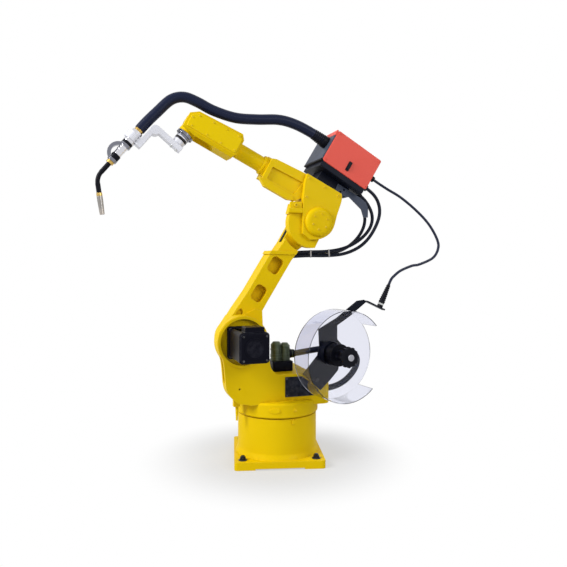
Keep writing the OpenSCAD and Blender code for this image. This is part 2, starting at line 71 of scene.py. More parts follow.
# %% [markdown]
# Every place on the arm is easiest to say in the frame of the link that carries it. A frame is a 4 by 4 matrix, and
# frames chain: the elbow's frame is the lower arm's frame, moved along the arm and turned. Places and sizes on the arm
# are in millimetres and become metres in one place, the `mm` helper. Angles are in degrees.

# %% Frames of the links
def mm(*sizes):
    """Millimetres to a vector, or to one number, in metres."""
    return Vector(s / 1000 for s in sizes) if len(sizes) > 1 else sizes[0] / 1000


def shifted(x, y, z):
    return Matrix.Translation(mm(x, y, z))


def tipped(degrees):
    """A turn about Y, the axis that all the arm's bends share."""
    return Matrix.Rotation(math.radians(degrees), 4, "Y")


def swung(degrees):
    """A turn about Z."""
    return Matrix.Rotation(math.radians(degrees), 4, "Z")


lean, pitch, dip = 33.0, 27.5, 50.0      # lower arm back, forearm up, torch down
feeder_tilt, spool_turn, tab_tilt, foot_turn = -3.5, 11, -25, -13
lower_length, forearm_length, elbow_rise = 583, 625, 128
on_floor = Matrix.Identity(4)
shoulder_axis = shifted(182, 0, 512)
on_shoulder = shoulder_axis @ tipped(-lean)
on_elbow = on_shoulder @ shifted(0, 0, lower_length) @ tipped(lean - pitch)
on_wrist = on_elbow @ shifted(forearm_length, 0, elbow_rise)
on_tool = on_wrist @ tipped(pitch + dip)
on_feeder = on_elbow @ shifted(-22, 0, 246) @ tipped(feeder_tilt)
on_spool = shifted(-194, 134, 452) @ swung(spool_turn)
on_tab = shifted(-359, 128, 669) @ tipped(tab_tilt)
on_fitting = on_tab @ shifted(-66, 15, 0)
on_foot = swung(foot_turn)
print("wrist axis at", tuple(round(c, 4) for c in on_wrist.translation))

# %% [markdown]
# The stage is a white floor and soft light. The world gives an even fill, a large lamp on the torch's side gives the
# form, one near the camera opens the shadows, and one behind lights the upper edges. Close to the foot the floor is
# matt grey paper, so it takes the shadow. A little further out it fades to plain white for the camera, so there is no
# horizon line.

# %% Floor, world and lamps
def node_of(tree, kind, **values):
    """A new shader node with its properties set."""
    node = tree.nodes.new(kind)
    for key, value in values.items():
        setattr(node, key, value)
    return node


def set_inputs(node, values):
    """Sets a node's fixed inputs by their names."""
    for key, value in values.items():
        node.inputs[key].default_value = value


def set_span(node, which, low, high):
    """Sets where a map range starts and ends, on its From side or its To side."""
    set_inputs(node, {which + " Min": low, which + " Max": high})


def new_material(name):
    material = bpy.data.materials.new(name)
    material.use_nodes = True
    tree = material.node_tree
    return material, tree, tree.nodes["Principled BSDF"]


def seen_direct(tree):
    """1 for rays from the camera, for those that go on through something clear and for mirror images."""
    path = node_of(tree, "ShaderNodeLightPath")
    seen = path.outputs["Is Camera Ray"]
    for kind in ("Is Transmission Ray", "Is Glossy Ray"):
        either = node_of(tree, "ShaderNodeMath", operation="MAXIMUM")
        tree.links.new(seen, either.inputs[0])
        tree.links.new(path.outputs[kind], either.inputs[1])
        seen = either.outputs[0]
    return seen


def make_world(fill):
    world = bpy.data.worlds.new("studio_world")
    bpy.context.scene.world = world
    world.use_nodes = True
    tree = world.node_tree
    glow = tree.nodes["Background"]
    set_inputs(glow, {"Color": (0.94, 0.97, 1.0, 1), "Strength": fill})
    backdrop = node_of(tree, "ShaderNodeBackground")
    set_inputs(backdrop, {"Color": (1, 1, 1, 1)})
    choose = node_of(tree, "ShaderNodeMixShader")
    tree.links.new(seen_direct(tree), choose.inputs[0])
    tree.links.new(glow.outputs[0], choose.inputs[1])
    tree.links.new(backdrop.outputs[0], choose.inputs[2])
    tree.links.new(choose.outputs[0], tree.nodes["World Output"].inputs["Surface"])


def make_floor():
    mesh = bpy.data.meshes.new("studio_floor")
    bm = bmesh.new()
    bmesh.ops.create_circle(bm, cap_ends=True, segments=96, radius=30.0)
    bm.to_mesh(mesh)
    bm.free()
    floor = bpy.data.objects.new("studio_floor", mesh)
    floor.location.z = -0.0005
    bpy.context.scene.collection.objects.link(floor)
    material, tree, shader = new_material("studio_paper")
    set_inputs(shader, {"Base Color": (0.55, 0.55, 0.56, 1), "Roughness": 0.9, "Specular IOR Level": 0.1})
    white = node_of(tree, "ShaderNodeEmission")
    set_inputs(white, {"Color": (1, 1, 1, 1)})
    place = node_of(tree, "ShaderNodeTexCoord")
    far = node_of(tree, "ShaderNodeVectorMath", operation="LENGTH")
    tree.links.new(place.outputs["Object"], far.inputs[0])
    fade = node_of(tree, "ShaderNodeMapRange", interpolation_type="SMOOTHSTEP")
    set_span(fade, "From", 0.24, 0.62)       # metres from the slewing axis
    set_span(fade, "To", 0.50, 1.0)          # share of plain white
    tree.links.new(far.outputs["Value"], fade.inputs["Value"])
    share = node_of(tree, "ShaderNodeMath", operation="MULTIPLY")
    tree.links.new(fade.outputs["Result"], share.inputs[0])
    tree.links.new(seen_direct(tree), share.inputs[1])
    mix = node_of(tree, "ShaderNodeMixShader")
    tree.links.new(share.outputs[0], mix.inputs[0])
    tree.links.new(shader.outputs[0], mix.inputs[1])
    tree.links.new(white.outputs[0], mix.inputs[2])
    tree.links.new(mix.outputs[0], tree.nodes["Material Output"].inputs["Surface"])
    floor.data.materials.append(material)


def lamp(name, place, aim, size, watts):
    """A round area lamp at a place, turned to a point. Both are in metres."""
    light = bpy.data.lights.new(name, "AREA")
    light.shape, light.size, light.energy = "DISK", size, watts
    thing = bpy.data.objects.new(name, light)
    thing.location = place
    thing.rotation_euler = (Vector(aim) - Vector(place)).to_track_quat("-Z", "Y").to_euler()
    bpy.context.scene.collection.objects.link(thing)


make_world(fill=0.40)
make_floor()
lamp("key_lamp", (3.4, 0.9, 2.8), aim=(0, 0, 0.9), size=1.8, watts=142)
lamp("fill_lamp", (-1.8, 3.4, 2.3), aim=(0, 0, 0.8), size=2.2, watts=48)
lamp("rim_lamp", (-2.6, -2.2, 3.0), aim=(0, 0, 0.9), size=1.6, watts=30)
bpy.context.scene.view_settings.view_transform = "Standard"
print("stage is set")

# %% [markdown]
# Effects that several finishes share are node groups, built once. `surface_grain` is the fine unevenness that every
# sprayed, cast or moulded surface has. `colour_drift` lets a colour wander a little, as real batches and light do.
# The edge mask finds outer edges, where paint is thin and hands rub, by looking a few millimetres into the solid; on
# the paint its lighter colour is also a painted highlight along the edges. The hollow mask finds the corners where
# dust and weld smoke gather, by looking outwards; where a finish darkens them, that is painted shade in the hollows.
# All are on Object coordinates, so the pattern stays on the piece when the arm moves.

# %% Shared effects
def new_group(name, inputs, outputs):
    group = bpy.data.node_groups.new(name, "ShaderNodeTree")
    for title, kind, value in inputs:
        group.interface.new_socket(name=title, in_out="INPUT", socket_type=kind).default_value = value
    for title, kind in outputs:
        group.interface.new_socket(name=title, in_out="OUTPUT", socket_type=kind)
    return group, group.nodes.new("NodeGroupInput"), group.nodes.new("NodeGroupOutput")


NUMBER, COLOUR = "NodeSocketFloat", "NodeSocketColor"


def noise_in(tree, scale, detail, rough=0.5):
    """A noise on Object coordinates. The scale is a number or the socket that gives it."""
    place = node_of(tree, "ShaderNodeTexCoord")
    noise = node_of(tree, "ShaderNodeTexNoise")
    set_inputs(noise, {"Detail": detail, "Roughness": rough})
    tree.links.new(place.outputs["Object"], noise.inputs["Vector"])
    if isinstance(scale, (int, float)):
        noise.inputs["Scale"].default_value = scale
    else:
        tree.links.new(scale, noise.inputs["Scale"])
    return noise.outputs["Fac"]


def make_surface_grain():
    group, start, end = new_group("surface_grain", [("Scale", NUMBER, 400.0), ("Wave", NUMBER, 0.5)],
                                  [("Height", NUMBER)])
    fine = noise_in(group, start.outputs["Scale"], 2.0)
    broad = noise_in(group, 38.0, 2.0)
    blend = node_of(group, "ShaderNodeMix", data_type="FLOAT")
    group.links.new(start.outputs["Wave"], blend.inputs[0])
    group.links.new(fine, blend.inputs[2])
    group.links.new(broad, blend.inputs[3])
    group.links.new(blend.outputs[0], end.inputs["Height"])
    return group


def make_colour_drift():
    group, start, end = new_group("colour_drift", [("Color", COLOUR, (0.8, 0.8, 0.8, 1)), ("Scale", NUMBER, 6.0),
                                                   ("Amount", NUMBER, 0.1)], [("Color", COLOUR)])
    wander = noise_in(group, start.outputs["Scale"], 4.0)
    spread = node_of(group, "ShaderNodeMath", operation="SUBTRACT")
    group.links.new(wander, spread.inputs[0])
    spread.inputs[1].default_value = 0.5
    strength = node_of(group, "ShaderNodeMath", operation="MULTIPLY_ADD")
    group.links.new(spread.outputs[0], strength.inputs[0])
    group.links.new(start.outputs["Amount"], strength.inputs[1])
    strength.inputs[2].default_value = 1.0
    shade = node_of(group, "ShaderNodeHueSaturation")
    group.links.new(strength.outputs[0], shade.inputs["Value"])
    group.links.new(start.outputs["Color"], shade.inputs["Color"])
    group.links.new(shade.outputs["Color"], end.inputs["Color"])
    return group


def make_depth_mask(name, inside, reach, low, high):
    """Edges of the solid when it looks inside, and corners when it looks outside, broken up by noise."""
    group, start, end = new_group(name, [("Reach", NUMBER, reach), ("Breakup", NUMBER, 60.0),
                                         ("Strength", NUMBER, 1.0)], [("Mask", NUMBER)])
    probe = node_of(group, "ShaderNodeAmbientOcclusion", inside=inside, only_local=True, samples=6)
    group.links.new(start.outputs["Reach"], probe.inputs["Distance"])
    span = node_of(group, "ShaderNodeMapRange")
    set_span(span, "From", low, high)
    group.links.new(probe.outputs["AO"], span.inputs["Value"])
    patch = node_of(group, "ShaderNodeMapRange")
    set_span(patch, "From", 0.38, 0.62)
    group.links.new(noise_in(group, start.outputs["Breakup"], 5.0, 0.65), patch.inputs["Value"])
    both = node_of(group, "ShaderNodeMath", operation="MULTIPLY")
    group.links.new(span.outputs["Result"], both.inputs[0])
    group.links.new(patch.outputs["Result"], both.inputs[1])
    last = node_of(group, "ShaderNodeMath", operation="MULTIPLY", use_clamp=True)
    group.links.new(both.outputs[0], last.inputs[0])
    group.links.new(start.outputs["Strength"], last.inputs[1])
    group.links.new(last.outputs[0], end.inputs["Mask"])
    return group


surface_grain = make_surface_grain()
colour_drift = make_colour_drift()
# outer edges lightened: real rubbing on metal and plastic, and on the paint also a painted highlight along the edges
worn_and_highlit_edges = make_depth_mask("worn_and_highlit_edges", inside=True, reach=0.004, low=0.75, high=0.35)
# hollows tinted: dust where the tint is lighter than the finish, and painted shade where it is darker
hollow_dust_and_shade = make_depth_mask("hollow_dust_and_shade", inside=False, reach=0.03, low=0.85, high=0.35)
print("effects:", ", ".join(g.name for g in bpy.data.node_groups))

# %% [markdown]
# A finish is then a few choices: its colour, how rough it is, how much grain it shows, how much its edges are worn
# and lit by a painted highlight, and how much dirt and painted shade its hollows hold. One builder places the groups
# and the shader, and each finish passes its own values. The coat's gloss and the metal's value are the same all over
# a surface, so they are set on the shader itself.

# %% Finish builder
def place_group(tree, group, **values):
    node = node_of(tree, "ShaderNodeGroup", node_tree=group)
    set_inputs(node, values)
    return node


def mix_colour(tree, factor, first, second):
    """Mixes a colour socket with a fixed colour by a mask."""
    mix = node_of(tree, "ShaderNodeMix", data_type="RGBA")
    tree.links.new(factor, mix.inputs[0])
    tree.links.new(first, mix.inputs[6])
    mix.inputs[7].default_value = (*second, 1)
    return mix.outputs[2]


def new_finish(name, colour, rough, metal=0.0, coat=0.0, drift=(6.0, 0.12), grain=(400.0, 0.4, 0.08),
               edge_wear_and_highlight=(0.25, (0.9, 0.8, 0.5)), hollow_dirt_and_shade=(0.4, (0.12, 0.09, 0.04)), spec=0.5):
    """Drift is (scale, amount), grain is (scale, share of broad waves, height), worn edges and hollow dirt (strength,
    colour).
    Worn edges are lighter, partly a painted highlight; hollow dirt is darker on most finishes, partly painted shade.
    """
    material, tree, shader = new_material(name)
    drifted = place_group(tree, colour_drift, Color=(*colour, 1), Scale=drift[0], Amount=drift[1])
    # dirt in the hollows, and painted shade there wherever the colour is darker than the finish
    corners = place_group(tree, hollow_dust_and_shade, Strength=hollow_dirt_and_shade[0])
    # worn edges, with a painted highlight along the paint's edges
    edges = place_group(tree, worn_and_highlit_edges, Strength=edge_wear_and_highlight[0])
    dirt_and_shade_colour = mix_colour(tree, corners.outputs["Mask"], drifted.outputs["Color"], hollow_dirt_and_shade[1])
    tree.links.new(mix_colour(tree, edges.outputs["Mask"], dirt_and_shade_colour, edge_wear_and_highlight[1]), shader.inputs["Base Color"])
    uneven = node_of(tree, "ShaderNodeMapRange")
    set_span(uneven, "To", rough * 0.82, rough * 1.18)
    tree.links.new(noise_in(tree, 22.0, 4.0), uneven.inputs["Value"])
    tree.links.new(uneven.outputs["Result"], shader.inputs["Roughness"])
    bump = node_of(tree, "ShaderNodeBump")
    set_inputs(bump, {"Strength": grain[2], "Distance": 0.001})
    texture = place_group(tree, surface_grain, Scale=grain[0], Wave=grain[1])
    tree.links.new(texture.outputs["Height"], bump.inputs["Height"])
    tree.links.new(bump.outputs["Normal"], shader.inputs["Normal"])
    set_inputs(shader, {"Metallic": metal, "Coat Weight": coat, "Coat Roughness": 0.12, "Specular IOR Level": spec})
    return material


# %% [markdown]
# The castings wear a two-pack enamel: warm lemon yellow, satin, with the slight orange peel that a spray gun leaves.
# The wrist's covers are a shade brighter. The metals differ mostly in colour and roughness. Rubber and plastics have
# a low gloss and a finer grain.

# %% Finishes of the arm
# on every finish the edge colour is real rubbing and, on the paint, a painted highlight; the hollow colour is dust
# where it is lighter than the finish and painted shade where it is darker
enamel = {"coat": 0.03, "spec": 0.05, "drift": (3.0, 0.10), "grain": (260.0, 0.45, 0.10)}
yellow_paint = new_finish(
    "yellow_paint", (0.80, 0.545, 0.001), 0.52, edge_wear_and_highlight=(0.22, (0.95, 0.82, 0.25)), hollow_dirt_and_shade=(0.5, (0.30, 0.17, 0.01)),
    **enamel)
bright_yellow_paint = new_finish(
    "bright_yellow_paint", (0.84, 0.595, 0.001), 0.50, edge_wear_and_highlight=(0.2, (0.95, 0.85, 0.3)), hollow_dirt_and_shade=(0.4, (0.32, 0.19, 0.01)),
    **enamel)
dark_steel = new_finish("dark_steel", (0.10, 0.085, 0.055), 0.42, metal=0.7, edge_wear_and_highlight=(0.4, (0.4, 0.37, 0.3)))
motor_black = new_finish(
    "motor_black", (0.0015, 0.0017, 0.006), 0.36, spec=0.07, drift=(9.0, 0.3), grain=(520.0, 0.3, 0.12),
    edge_wear_and_highlight=(0.25, (0.06, 0.06, 0.08)), hollow_dirt_and_shade=(0.25, (0.012, 0.012, 0.016)))
olive_plating = new_finish(
    "olive_plating", (0.062, 0.080, 0.044), 0.40, metal=0.5, drift=(30.0, 0.5), edge_wear_and_highlight=(0.5, (0.45, 0.45, 0.36)),
    hollow_dirt_and_shade=(0.5, (0.02, 0.02, 0.015)))
black_powder_coat = new_finish(
    "black_powder_coat", (0.004, 0.0055, 0.013), 0.46, spec=0.09, drift=(12.0, 0.3), grain=(700.0, 0.15, 0.22),
    edge_wear_and_highlight=(0.35, (0.16, 0.16, 0.17)), hollow_dirt_and_shade=(0.25, (0.018, 0.021, 0.032)))
black_plastic = new_finish(
    "black_plastic", (0.003, 0.0033, 0.007), 0.40, spec=0.09, drift=(14.0, 0.25), grain=(900.0, 0.2, 0.12),
    edge_wear_and_highlight=(0.25, (0.07, 0.07, 0.09)), hollow_dirt_and_shade=(0.2, (0.016, 0.016, 0.02)))
red_powder_coat = new_finish(
    "red_powder_coat", (0.80, 0.105, 0.075), 0.42, spec=0.13, drift=(5.0, 0.10), grain=(620.0, 0.15, 0.18),
    edge_wear_and_highlight=(0.25, (0.85, 0.28, 0.2)), hollow_dirt_and_shade=(0.35, (0.22, 0.03, 0.02)))
grey_sheet = new_finish(
    "grey_sheet", (0.050, 0.062, 0.095), 0.5, drift=(9.0, 0.2), spec=0.2, edge_wear_and_highlight=(0.3, (0.16, 0.17, 0.20)),
    hollow_dirt_and_shade=(0.35, (0.02, 0.02, 0.025)))
turned_alloy = new_finish(
    "turned_alloy", (0.66, 0.665, 0.72), 0.36, metal=0.3, drift=(20.0, 0.15), grain=(900.0, 0.2, 0.10),
    edge_wear_and_highlight=(0.3, (0.9, 0.9, 0.92)), hollow_dirt_and_shade=(0.4, (0.08, 0.08, 0.09)))
bright_chrome = new_finish(
    "bright_chrome", (0.66, 0.66, 0.70), 0.12, metal=1.0, drift=(20.0, 0.1), grain=(900.0, 0.2, 0.05),
    edge_wear_and_highlight=(0.2, (0.9, 0.9, 0.92)), hollow_dirt_and_shade=(0.5, (0.03, 0.03, 0.035)))
smoked_chrome = new_finish(
    "smoked_chrome", (0.20, 0.205, 0.24), 0.16, metal=1.0, drift=(30.0, 0.25), grain=(900.0, 0.2, 0.05),
    edge_wear_and_highlight=(0.4, (0.75, 0.75, 0.78)), hollow_dirt_and_shade=(0.6, (0.02, 0.02, 0.025)))
brass = new_finish(
    "brass", (0.50, 0.33, 0.09), 0.28, metal=1.0, drift=(30.0, 0.3), edge_wear_and_highlight=(0.3, (0.85, 0.66, 0.28)),
    hollow_dirt_and_shade=(0.6, (0.06, 0.035, 0.012)))
nozzle_metal = new_finish(
    "nozzle_metal", (0.29, 0.275, 0.26), 0.34, metal=1.0, drift=(45.0, 0.6), edge_wear_and_highlight=(0.4, (0.6, 0.5, 0.4)),
    hollow_dirt_and_shade=(0.8, (0.03, 0.025, 0.02)))
bolt_black = new_finish(
    "bolt_black", (0.012, 0.012, 0.014), 0.36, metal=0.6, drift=(40.0, 0.4), edge_wear_and_highlight=(0.5, (0.22, 0.22, 0.24)),
    hollow_dirt_and_shade=(0.4, (0.02, 0.018, 0.015)))
zinc = new_finish(
    "zinc", (0.52, 0.53, 0.52), 0.33, metal=1.0, drift=(40.0, 0.3), edge_wear_and_highlight=(0.3, (0.8, 0.8, 0.8)),
    hollow_dirt_and_shade=(0.5, (0.06, 0.06, 0.05)))
pale_plastic = new_finish(
    "pale_plastic", (0.46, 0.46, 0.50), 0.45, drift=(30.0, 0.15), edge_wear_and_highlight=(0.2, (0.7, 0.7, 0.7)),
    hollow_dirt_and_shade=(0.4, (0.10, 0.10, 0.10)))
rubber_black = new_finish(
    "rubber_black", (0.006, 0.006, 0.007), 0.6, spec=0.12, drift=(20.0, 0.3), grain=(700.0, 0.2, 0.2),
    edge_wear_and_highlight=(0.2, (0.05, 0.05, 0.05)), hollow_dirt_and_shade=(0.3, (0.03, 0.03, 0.028)))
print(len(bpy.data.materials), "materials so far")

# %% [markdown]
# The torch hose, the wire conduit and the cables are flexible, so each is made as a cord: a smooth line through its
# route points, with a round section. The real line runs on across the arm's joints, so it is made in lengths, and each
# length starts where the last one ends. The route points are those of the CAD solids: places in the world, or on the
# link that carries the cord's end.

# %% Routes of the cords
def feeder_point(x, y, z):
    return on_feeder @ mm(x, y, z)


hose_route = [feeder_point(146.1, 50, 92), feeder_point(195.5, 50, 92), mm(-70, 46, 1424), mm(5, 42, 1440),
              mm(100, 36, 1436), mm(193, 30, 1438), mm(283, 22, 1463), mm(350, 16, 1495), mm(403, 10, 1512),
              mm(455, 6, 1498), mm(510, 2, 1445), on_tool @ mm(126, 0, 146), on_tool @ mm(168.4, 0, 146)]
conduit_route = [feeder_point(-144.1, 60, 76), feeder_point(-177.5, 60, 76), mm(-500, 62, 1160), mm(-569, 66, 1122),
                 mm(-649, 70, 1061), mm(-703, 78, 1003), mm(-740, 84, 938), mm(-743, 88, 896), mm(-711, 95, 853),
                 mm(-634, 108, 824), mm(-593, 115, 818), mm(-528, 130, 797), mm(-489, 138, 772),
                 on_fitting @ mm(0, 0, 128), on_fitting @ mm(0, 0, 106.6)]
cable_routes = [
    [feeder_point(-136.1, 60, 24), feeder_point(-157.5, 60, 24), mm(-448, 58, 1118), mm(-466, 54, 1070),
     mm(-462, 46, 1022), mm(-432, 34, 956), mm(-390, 16, 906), mm(-325, -16, 872), mm(-245, -46, 863),
     mm(-160, -62, 863), on_shoulder @ mm(-4, -66, 410), on_shoulder @ mm(-4, -66, 380.6)],
    [feeder_point(-140.1, 32, -12), feeder_point(-157.5, 32, -12), mm(-422, 32, 1085), mm(-440, 32, 1045),
     mm(-438, 26, 1000), mm(-414, 14, 958), mm(-372, -6, 920), mm(-318, -30, 894), mm(-245, -50, 882),
     mm(-160, -62, 880), on_shoulder @ mm(26, -66, 410), on_shoulder @ mm(26, -66, 380.6)],
    [feeder_point(-140.1, -2, -12), feeder_point(-153.5, -2, -12), mm(-404, 0, 1084), mm(-418, 2, 1040),
     mm(-414, -4, 992), mm(-392, -18, 946), mm(-354, -36, 906), mm(-304, -56, 880), mm(-240, -72, 871),
     mm(-160, -82, 871), on_shoulder @ mm(11, -84, 410), on_shoulder @ mm(11, -84, 380.6)]]
motor_route = [mm(-66.6, 20, 440), mm(-92, 20, 440), mm(-150, 45, 456), mm(-220, 58, 462), mm(-300, 62, 455),
               mm(-350, 64, 436), mm(-360, 66, 405), mm(-340, 68, 365), mm(-300, 72, 325), mm(-262, 76, 302),
               mm(-215, 78, 292), mm(-175.6, 78, 292)]


def smooth_line(points):
    """Points on the smooth line that passes through the route points."""
    line, steps = [], 8
    for i in range(len(points) - 1):
        a, b, c, d = points[max(i - 1, 0)], points[i], points[i + 1], points[min(i + 2, len(points) - 1)]
        for j in range(steps):
            t = j / steps
            line.append(0.5 * (2 * b + (c - a) * t + (2 * a - 5 * b + 4 * c - d) * t * t
                               + (3 * b - a - 3 * c + d) * t * t * t))
    return line + [points[-1]]


def even_line(line, spacing):
    """The same line with evenly spaced points."""
    lengths = [0.0]
    for a, b in zip(line, line[1:]):
        lengths.append(lengths[-1] + (b - a).length)
    count = max(2, round(lengths[-1] / spacing))
    out, k = [], 0
    for i in range(count + 1):
        at = lengths[-1] * i / count
        while k < len(line) - 2 and lengths[k + 1] < at:
            k += 1
        part = (at - lengths[k]) / max(lengths[k + 1] - lengths[k], 1e-9)
        out.append(line[k].lerp(line[k + 1], part))
    return out


def relaxed(line, rounds):
    """The line as a cable takes it: each point moves to the middle of its neighbours, and the ends stay put."""
    line = [p.copy() for p in line]
    for _ in range(rounds):
        line[2:-2] = [(a + 2 * b + c) / 4 for a, b, c in zip(line[1:-3], line[2:-2], line[3:-1])]
    return line


def length_of(line):
    return sum((b - a).length for a, b in zip(line, line[1:]))


hose_line = even_line(smooth_line(hose_route), spacing=0.008)
conduit_line = even_line(smooth_line(conduit_route), spacing=0.005)
cable_lines = [even_line(relaxed(even_line(smooth_line(r), 0.005), rounds=30), spacing=0.005) for r in cable_routes]
motor_line = even_line(relaxed(even_line(smooth_line(motor_route), 0.006), rounds=80), spacing=0.006)
print("hose", round(length_of(hose_line), 3), "conduit", round(length_of(conduit_line), 3))

# %% [markdown]
# A cord's skin follows its length, so each mesh carries a number at every vertex, `along`, the distance in metres
# from its start. The rubber material reads it to put faint moulding rings across the hose, whatever way it bends.

# %% Rubber with rings along the cord
def new_rubber(name, colour, rough, rings, depth):
    """Rubber with this many rings a metre, pressed in by a share of a millimetre."""
    material, tree, shader = new_material(name)
    drifted = place_group(tree, colour_drift, Color=(*colour, 1), Scale=18.0, Amount=0.25)
    dusty = place_group(tree, hollow_dust_and_shade, Strength=0.2, Reach=0.02)
    tree.links.new(mix_colour(tree, dusty.outputs["Mask"], drifted.outputs["Color"], (0.026, 0.029, 0.045)),
                   shader.inputs["Base Color"])
    along = node_of(tree, "ShaderNodeAttribute", attribute_name="along")
    turns = node_of(tree, "ShaderNodeMath", operation="MULTIPLY")
    tree.links.new(along.outputs["Fac"], turns.inputs[0])
    turns.inputs[1].default_value = rings * 2 * math.pi
    wave = node_of(tree, "ShaderNodeMath", operation="SINE")
    tree.links.new(turns.outputs[0], wave.inputs[0])
    height = node_of(tree, "ShaderNodeMath", operation="MULTIPLY_ADD")
    tree.links.new(noise_in(tree, 500.0, 2.0), height.inputs[0])
    height.inputs[1].default_value = 0.5
    tree.links.new(wave.outputs[0], height.inputs[2])
    bump = node_of(tree, "ShaderNodeBump")
    set_inputs(bump, {"Strength": depth, "Distance": 0.001})
    tree.links.new(height.outputs[0], bump.inputs["Height"])
    tree.links.new(bump.outputs["Normal"], shader.inputs["Normal"])
    scuffed = node_of(tree, "ShaderNodeMapRange")
    set_span(scuffed, "To", rough * 0.8, rough * 1.2)
    tree.links.new(noise_in(tree, 40.0, 4.0), scuffed.inputs["Value"])
    tree.links.new(scuffed.outputs["Result"], shader.inputs["Roughness"])
    shader.inputs["Specular IOR Level"].default_value = 0.16
    return material


hose_rubber = new_rubber("hose_rubber", (0.005, 0.009, 0.032), 0.34, rings=260.0, depth=0.12)
cable_rubber = new_rubber("cable_rubber", (0.006, 0.009, 0.022), 0.40, rings=500.0, depth=0.03)
conduit_skin = new_rubber("conduit_skin", (0.016, 0.021, 0.046), 0.36, rings=330.0, depth=0.25)
print("rubbers:", hose_rubber.name, cable_rubber.name, conduit_skin.name)

# %% [markdown]
# A curve with a round bevel gives the cord its section, and is turned into a mesh once. The vertices come ring by
# ring, so the nearest point of the line is looked for close to the last one, and everywhere only if that fails. A
# length between two links stays where it is made. A length on one link rides on it.

# %% Cord maker
def make_cord(name, line, radius, material):
    """A round cord along a line of points, as a mesh, with its distance along at each vertex."""
    curve = bpy.data.curves.new(name + "_line", "CURVE")
    curve.dimensions = "3D"
    spline = curve.splines.new("POLY")
    spline.points.add(len(line) - 1)
    for point, place in zip(spline.points, line):
        point.co = (*place, 1)
    curve.bevel_depth, curve.bevel_resolution, curve.use_fill_caps = radius, 5, True
    holder = bpy.data.objects.new(name + "_line", curve)
    bpy.context.scene.collection.objects.link(holder)
    bpy.context.view_layer.update()
    mesh = bpy.data.meshes.new_from_object(holder.evaluated_get(bpy.context.evaluated_depsgraph_get()))
    bpy.data.objects.remove(holder)
    bm = bmesh.new()
    bm.from_mesh(mesh)
    bmesh.ops.remove_doubles(bm, verts=bm.verts, dist=1e-6)
    bmesh.ops.recalc_face_normals(bm, faces=bm.faces)
    far = bm.verts.layers.float.new("along")
    step = length_of(line) / (len(line) - 1)
    near = 0
    for vert in bm.verts:
        around = range(max(0, near - 3), min(len(line), near + 4))
        near = min(around, key=lambda i: (line[i] - vert.co).length)
        if (line[near] - vert.co).length > 1.2 * radius:
            near = min(range(len(line)), key=lambda i: (line[i] - vert.co).length)
        vert[far] = near * step
    mesh.clear_geometry()
    bm.to_mesh(mesh)
    bm.free()
    mesh.materials.clear()
    mesh.materials.append(material)
    mesh.shade_smooth()
    mesh.set_sharp_from_angle(angle=math.radians(50))
    cord = bpy.data.objects.new(name, mesh)
    bpy.context.scene.collection.objects.link(cord)
    return cord


def cut_line(line, *parts):
    """The line cut at these shares of its length, each piece starting where the last one ended."""
    marks = [0] + [round(p * (len(line) - 1)) for p in parts] + [len(line) - 1]
    return [line[a:b + 1] for a, b in zip(marks, marks[1:])]


def lay_cord(name, line, radius, material, bodies, node):
    """A cord length that lies between two links, or rides on one, and stands for its CAD solid."""
    cord = make_cord(name, line, radius, material)
    tuple(line[0])
    length_of(line)
    [tuple(p) for p in line]
    if len(bodies) == 2:
        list(bodies)
        tuple(line[0])
        tuple(line[-1])
        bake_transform(cord)
    else:
        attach(cord, bodies[0])
    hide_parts(node)
    print(name, round(length_of(line), 3), "m,", len(cord.data.vertices), "vertices")


hose_radius, conduit_radius, cable_radius, motor_lead_radius = 0.022, 0.006, 0.0075, 0.013
hose_parts = cut_line(hose_line, 0.36, 0.68)
hose_spans = [("upper_arm", "forearm"), ("forearm", "wrist"), ("wrist", "tool")]
for i, (part, span) in enumerate(zip(hose_parts, hose_spans)):
    lay_cord("torch_hose_" + "abc"[i], part, hose_radius, hose_rubber, span, "torch_hose")
conduit_parts = cut_line(conduit_line, 0.5)
conduit_spans = [("upper_arm", "lower_arm"), ("lower_arm", "turret")]
for i, (part, span) in enumerate(zip(conduit_parts, conduit_spans)):
    lay_cord("wire_conduit_" + "ab"[i], part, conduit_radius, conduit_skin, span, "wire_conduit")
for i, line in enumerate(cable_lines):
    lay_cord(f"feeder_lead_{i + 1}", line, cable_radius, cable_rubber, ("upper_arm", "lower_arm"),
             f"feeder_cable_{i + 1}")
lay_cord("motor_lead", motor_line, motor_lead_radius, cable_rubber, ("turret",), "motor_cable")

# %% [markdown]
# A solid from a CAD program has edges as sharp as a knife, and no casting, bent sheet or turned part has those. For
# each rigid piece a copy of its mesh is merged, its flat faces are joined, and every sharp edge is bevelled by the
# amount that its making leaves: several millimetres on a casting, less than one on a turned part. The flat faces
# keep flat shading through a weighted normal modifier. The copy stands for the solid and rides on the same link.

# %% Softened copies of the solids
def put_mesh(name, bm, body, material, slot, smooth=35.0):
    """Writes a bmesh to a new object at the origin, shades it and lets it ride on a link."""
    mesh = bpy.data.meshes.new(name)
    bm.to_mesh(mesh)
    bm.free()
    mesh.materials.append(material)
    mesh.shade_smooth()
    mesh.set_sharp_from_angle(angle=math.radians(smooth))
    thing = bpy.data.objects.new(name, mesh)
    bpy.context.scene.collection.objects.link(thing)
    thing.modifiers.new("flat_faces", "WEIGHTED_NORMAL").keep_sharp = True
    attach(thing, body)
    return thing


